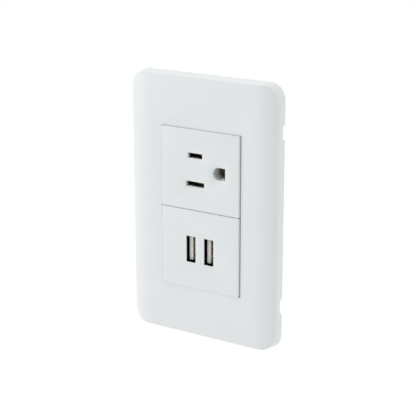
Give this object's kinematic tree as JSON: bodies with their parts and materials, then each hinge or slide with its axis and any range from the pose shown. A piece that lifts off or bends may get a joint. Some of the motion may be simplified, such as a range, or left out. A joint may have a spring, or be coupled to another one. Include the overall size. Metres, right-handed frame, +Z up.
{
  "type": "wall outlet with usb charger",
  "caption": "Screwless rectangular wall plate over a mounting frame, with a grounded two-blade socket module above a twin USB-A charger module.",
  "frame": {"origin": "centre of the cover plate on the wall plane, where the box's middle is", "axes": "+Y goes into the wall, so the front faces -Y; +Z is up along the plate's long side; +X is to the right seen from the front"},
  "size_m": [0.075, 0.0383, 0.118],
  "materials": {
    "cover_plastic": "satin",
    "face_plastic": "satin",
    "frame_nylon": "matte",
    "body_nylon": "matte",
    "contact_brass": "satin",
    "screw_steel": "satin",
    "ground_screw_green": "satin",
    "port_shell_steel": "satin",
    "port_resin": "satin",
    "board_laminate": "satin",
    "black_epoxy": "matte",
    "ferrite": "matte",
    "coil_tape": "satin",
    "capacitor_sleeve": "satin",
    "disc_lacquer": "satin",
    "resistor_lacquer": "satin"
  },
  "bodies": {
    "root": {"mounting_frame": "frame_nylon", "socket_face": "face_plastic", "socket_body": "body_nylon", "socket_assembly_screw_top": "screw_steel", "socket_assembly_screw_bottom": "screw_steel", "hot_contact": "contact_brass", "neutral_contact": "contact_brass", "ground_contact": "contact_brass", "usb_face": "face_plastic", "usb_body": "body_nylon", "usb_assembly_screw_top": "screw_steel", "usb_assembly_screw_bottom": "screw_steel", "usb_left_port_shell": "port_shell_steel", "usb_right_port_shell": "port_shell_steel", "usb_left_port_tongue": "port_resin", "usb_right_port_tongue": "port_resin", "usb_left_port_pin_1": "contact_brass", "usb_left_port_pin_2": "contact_brass", "usb_left_port_pin_3": "contact_brass", "usb_left_port_pin_4": "contact_brass", "usb_right_port_pin_1": "contact_brass", "usb_right_port_pin_2": "contact_brass", "usb_right_port_pin_3": "contact_brass", "usb_right_port_pin_4": "contact_brass", "usb_port_board": "board_laminate", "usb_power_board": "board_laminate", "usb_line_terminal": "contact_brass", "usb_neutral_terminal": "contact_brass", "transformer_core": "ferrite", "transformer_coil": "coil_tape", "input_capacitor": "capacitor_sleeve", "output_capacitor": "capacitor_sleeve", "filter_inductor": "black_epoxy", "board_link_header": "black_epoxy", "bridge_rectifier": "black_epoxy", "controller_chip": "black_epoxy", "fuse_resistor": "resistor_lacquer", "safety_capacitor": "disc_lacquer"},
    "cover": {"cover_plate": "cover_plastic"},
    "top_box_screw": {"box_screw_top": "screw_steel"},
    "bottom_box_screw": {"box_screw_bottom": "screw_steel"},
    "hot_clamp": {"hot_clamp_plate": "screw_steel"},
    "hot_screw": {"hot_terminal_screw": "contact_brass"},
    "neutral_clamp": {"neutral_clamp_plate": "screw_steel"},
    "neutral_screw": {"neutral_terminal_screw": "screw_steel"},
    "ground_clamp": {"ground_clamp_plate": "screw_steel"},
    "ground_screw": {"ground_terminal_screw": "ground_screw_green"},
    "usb_line_clamp": {"usb_line_clamp_plate": "screw_steel"},
    "usb_line_screw": {"usb_line_terminal_screw": "contact_brass"},
    "usb_neutral_clamp": {"usb_neutral_clamp_plate": "screw_steel"},
    "usb_neutral_screw": {"usb_neutral_terminal_screw": "screw_steel"}
  },
  "joints": [
    {"name": "cover_pull_off", "type": "slide", "parent": "root", "child": "cover", "axis": [0, -1, 0], "range_m": [0, 0.03]},
    {"name": "top_box_screw_turn", "type": "hinge", "parent": "root", "child": "top_box_screw", "pos_m": [0, 0, 0.04175], "axis": [0, 1, 0], "continuous": true},
    {"name": "bottom_box_screw_turn", "type": "hinge", "parent": "root", "child": "bottom_box_screw", "pos_m": [0, 0, -0.04175], "axis": [0, 1, 0], "continuous": true},
    {"name": "hot_clamp_lift", "type": "slide", "parent": "root", "child": "hot_clamp", "axis": [0, 1, 0], "range_m": [0, 0.00317]},
    {"name": "hot_screw_turn", "type": "hinge", "parent": "hot_clamp", "child": "hot_screw", "pos_m": [-0.0102, 0.018, 0.02805], "axis": [0, 1, 0], "range_deg": [0, 1441]},
    {"name": "neutral_clamp_lift", "type": "slide", "parent": "root", "child": "neutral_clamp", "axis": [0, 1, 0], "range_m": [0, 0.00317]},
    {"name": "neutral_screw_turn", "type": "hinge", "parent": "neutral_clamp", "child": "neutral_screw", "pos_m": [-0.0102, 0.018, 0.00805], "axis": [0, 1, 0], "range_deg": [0, 1441]},
    {"name": "ground_clamp_lift", "type": "slide", "parent": "root", "child": "ground_clamp", "axis": [0, 1, 0], "range_m": [0, 0.00317]},
    {"name": "ground_screw_turn", "type": "hinge", "parent": "ground_clamp", "child": "ground_screw", "pos_m": [0.0101, 0.018, 0.01805], "axis": [0, 1, 0], "range_deg": [0, 1441]},
    {"name": "usb_line_clamp_lift", "type": "slide", "parent": "root", "child": "usb_line_clamp", "axis": [0, 1, 0], "range_m": [0, 0.00317]},
    {"name": "usb_line_screw_turn", "type": "hinge", "parent": "usb_line_clamp", "child": "usb_line_screw", "pos_m": [-0.0102, 0.028, -0.00805], "axis": [0, 1, 0], "range_deg": [0, 1441]},
    {"name": "usb_neutral_clamp_lift", "type": "slide", "parent": "root", "child": "usb_neutral_clamp", "axis": [0, 1, 0], "range_m": [0, 0.00317]},
    {"name": "usb_neutral_screw_turn", "type": "hinge", "parent": "usb_neutral_clamp", "child": "usb_neutral_screw", "pos_m": [-0.0102, 0.028, -0.02805], "axis": [0, 1, 0], "range_deg": [0, 1441]}
  ],
  "couplings": [
    {"joint": "hot_screw_turn", "follows": "hot_clamp_lift", "rad_per_m": 7915.8},
    {"joint": "neutral_screw_turn", "follows": "neutral_clamp_lift", "rad_per_m": 7915.8},
    {"joint": "ground_screw_turn", "follows": "ground_clamp_lift", "rad_per_m": 7915.8},
    {"joint": "usb_line_screw_turn", "follows": "usb_line_clamp_lift", "rad_per_m": 7915.8},
    {"joint": "usb_neutral_screw_turn", "follows": "usb_neutral_clamp_lift", "rad_per_m": 7915.8}
  ]
}
